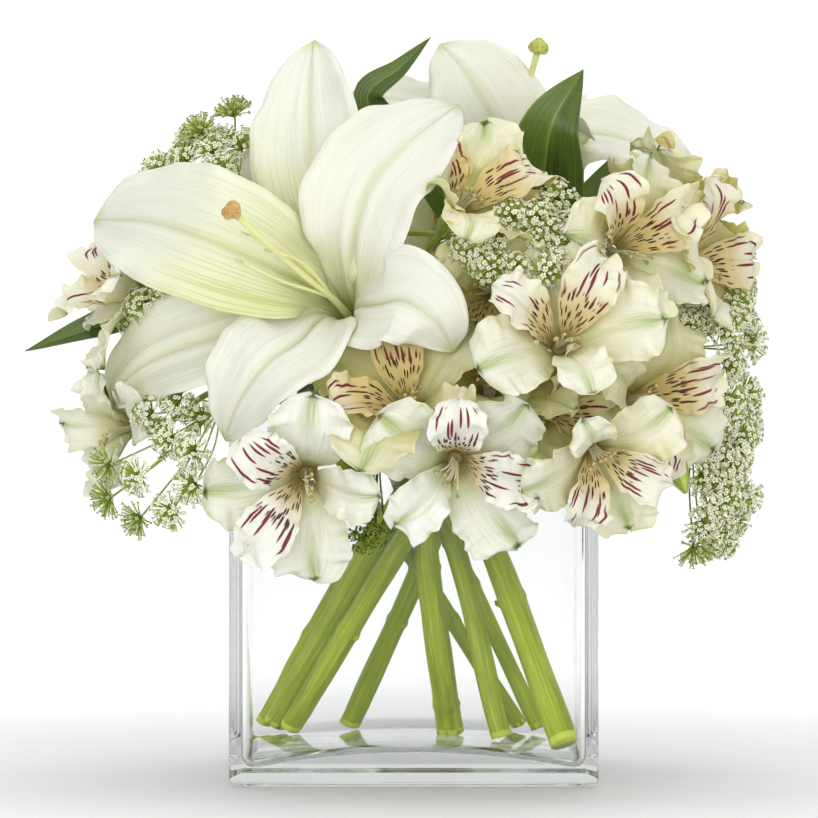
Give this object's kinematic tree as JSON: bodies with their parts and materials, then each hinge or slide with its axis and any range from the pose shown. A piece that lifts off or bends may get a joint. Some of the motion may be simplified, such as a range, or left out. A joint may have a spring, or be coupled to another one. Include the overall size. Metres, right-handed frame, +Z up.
{
  "type": "vase of lilies",
  "caption": "Square glass cube vase holding a hand-tied bunch of white lilies, striped alstroemerias and lace flowers with leaves, for standing on a table as a decoration.",
  "frame": {"origin": "on the table under the middle of the vase's flat bottom", "axes": "+Z up out of the vase, -Y towards the viewer and the big front lily, +X to the viewer's right"},
  "size_m": [0.261, 0.2094, 0.2598],
  "materials": {
    "glass": "clear polished",
    "stem": "satin",
    "leaf": "satin",
    "lily_tepal": "soft satin",
    "lily_heart": "satin",
    "bloom": "soft satin",
    "lace": "matte",
    "bud": "satin"
  },
  "bodies": {
    "root": {"vase": "glass", "stem_lily_front": "stem", "stem_lily_rear": "stem", "stem_bloom_middle": "stem", "stem_bloom_right": "stem", "stem_bloom_left": "stem", "stem_bloom_rear": "stem", "stem_lace_right": "stem", "stem_lace_left": "stem", "stem_lace_top": "stem", "lily_front_heart": "lily_heart", "lily_front_right_upper": "lily_tepal", "lily_front_lower": "lily_tepal", "lily_front_left": "lily_tepal", "lily_front_upper": "lily_tepal", "lily_front_right_lower": "lily_tepal", "lily_front_left_lower": "lily_tepal", "lily_rear_heart": "lily_heart", "lily_rear_upper_left": "lily_tepal", "lily_rear_right": "lily_tepal", "lily_rear_rear": "lily_tepal", "lily_rear_left": "lily_tepal", "lily_rear_rear_left": "lily_tepal", "lily_rear_front": "lily_tepal", "leaf_top_left": "leaf", "leaf_top_right": "leaf", "leaf_left": "leaf", "leaf_middle": "leaf", "leaf_neck": "leaf", "leaf_back": "leaf", "bud": "bud", "lace_top_left": "lace", "lace_right": "lace", "lace_right_low": "lace", "lace_left": "lace", "lace_left_upper": "lace", "lace_middle": "lace", "lace_back": "lace", "lace_sprig": "lace", "bloom_top_left": "bloom", "bloom_top_right": "bloom", "bloom_right_upper": "bloom", "bloom_right_rear": "bloom", "bloom_middle": "bloom", "bloom_under_lily": "bloom", "bloom_middle_left": "bloom", "bloom_right": "bloom", "bloom_lower_middle": "bloom", "bloom_lower_right": "bloom", "bloom_front": "bloom", "bloom_front_left": "bloom", "bloom_left": "bloom", "bloom_left_low": "bloom", "bloom_centre": "bloom", "bloom_back_top": "bloom", "bloom_back_middle": "bloom", "bloom_back_right": "bloom", "bloom_back_left": "bloom", "bloom_back_low": "bloom"}
  },
  "joints": []
}
